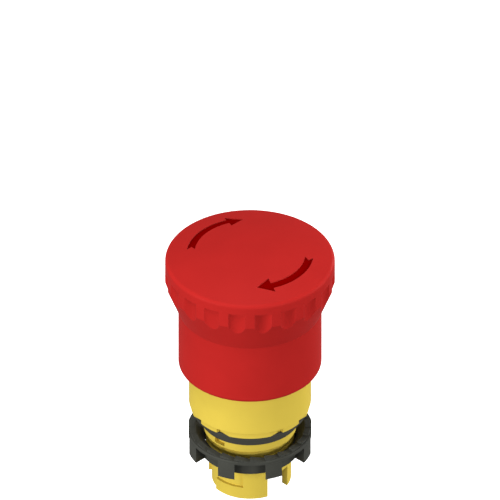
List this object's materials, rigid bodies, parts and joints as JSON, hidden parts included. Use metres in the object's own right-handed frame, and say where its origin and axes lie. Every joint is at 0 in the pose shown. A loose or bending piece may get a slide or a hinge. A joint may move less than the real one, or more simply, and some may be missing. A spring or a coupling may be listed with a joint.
{
  "type": "emergency stop button",
  "caption": "Panel-mount mushroom-head emergency stop button: push to latch, twist clockwise to release, with threaded yellow barrel, gasket and fixing nut.",
  "frame": {"origin": "on the button's axis at the panel's front face, which is the gasket's underside", "axes": "+Z along the axis, out of the panel towards the hand; +X and +Y along the panel, with the arrows' heads near -Y and +Y"},
  "size_m": [0.04, 0.04, 0.0653],
  "materials": {
    "red_plastic": "satin moulded polyamide, signal red",
    "arrow_ink": "dark red inlay sunk in the dome",
    "yellow_plastic": "satin moulded polyamide, traffic yellow",
    "black_plastic": "satin moulded glass-filled nylon, black",
    "gasket_rubber": "matt black nitrile rubber",
    "seal_rubber": "matt black nitrile rubber",
    "natural_nylon": "off-white acetal",
    "grey_plastic": "dark grey acetal",
    "zinc_steel": "zinc-plated steel",
    "spring_steel": "bright spring steel",
    "pin_steel": "ground steel"
  },
  "bodies": {
    "housing": {"housing": "yellow_plastic", "panel_gasket": "gasket_rubber", "latch_sleeve": "zinc_steel", "guide_bush": "natural_nylon", "lip_seal": "seal_rubber", "return_spring": "spring_steel", "spring_seat": "zinc_steel"},
    "plunger": {"plunger": "grey_plastic", "thrust_washer": "zinc_steel", "head_clip": "spring_steel", "contact_pusher": "natural_nylon", "pusher_clip": "spring_steel", "bumper_ring": "seal_rubber", "latch_spring_right": "spring_steel", "latch_spring_left": "spring_steel"},
    "mushroom_head": {"mushroom_cap": "red_plastic", "release_arrow_right": "arrow_ink", "release_arrow_left": "arrow_ink", "cam_hub": "natural_nylon", "torsion_spring": "spring_steel"},
    "latch_pin_right": {"latch_pin_right": "pin_steel"},
    "latch_pin_left": {"latch_pin_left": "pin_steel"},
    "fixing_nut": {"fixing_nut": "black_plastic"}
  },
  "joints": [
    {"name": "press", "type": "slide", "parent": "housing", "child": "plunger", "axis": [0, 0, 1], "range_m": [-0.006, 0], "stiffness_N_per_m": 2000, "springref_m": 0.003, "deforming": ["return_spring"]},
    {"name": "twist", "type": "hinge", "parent": "plunger", "child": "mushroom_head", "pos_m": [0, 0, 0], "axis": [0, 0, 1], "range_deg": [-40, 0], "stiffness_Nm_per_rad": 0.12, "springref_deg": 20.05, "deforming": ["torsion_spring"]},
    {"name": "latch_draw_right", "type": "slide", "parent": "plunger", "child": "latch_pin_right", "axis": [1, 0, 0], "range_m": [-0.0012, 0], "deforming": ["latch_spring_right"]},
    {"name": "latch_draw_left", "type": "slide", "parent": "plunger", "child": "latch_pin_left", "axis": [-1, 0, 0], "range_m": [-0.0012, 0], "deforming": ["latch_spring_left"]},
    {"name": "nut_travel", "type": "slide", "parent": "housing", "child": "fixing_nut", "axis": [0, 0, 1], "range_m": [-0.016, 0.0008]}
  ],
  "couplings": [
    {"joint": "latch_draw_right", "follows": "twist", "m_per_rad": 0.0017189},
    {"joint": "latch_draw_left", "follows": "twist", "m_per_rad": 0.0017189}
  ]
}
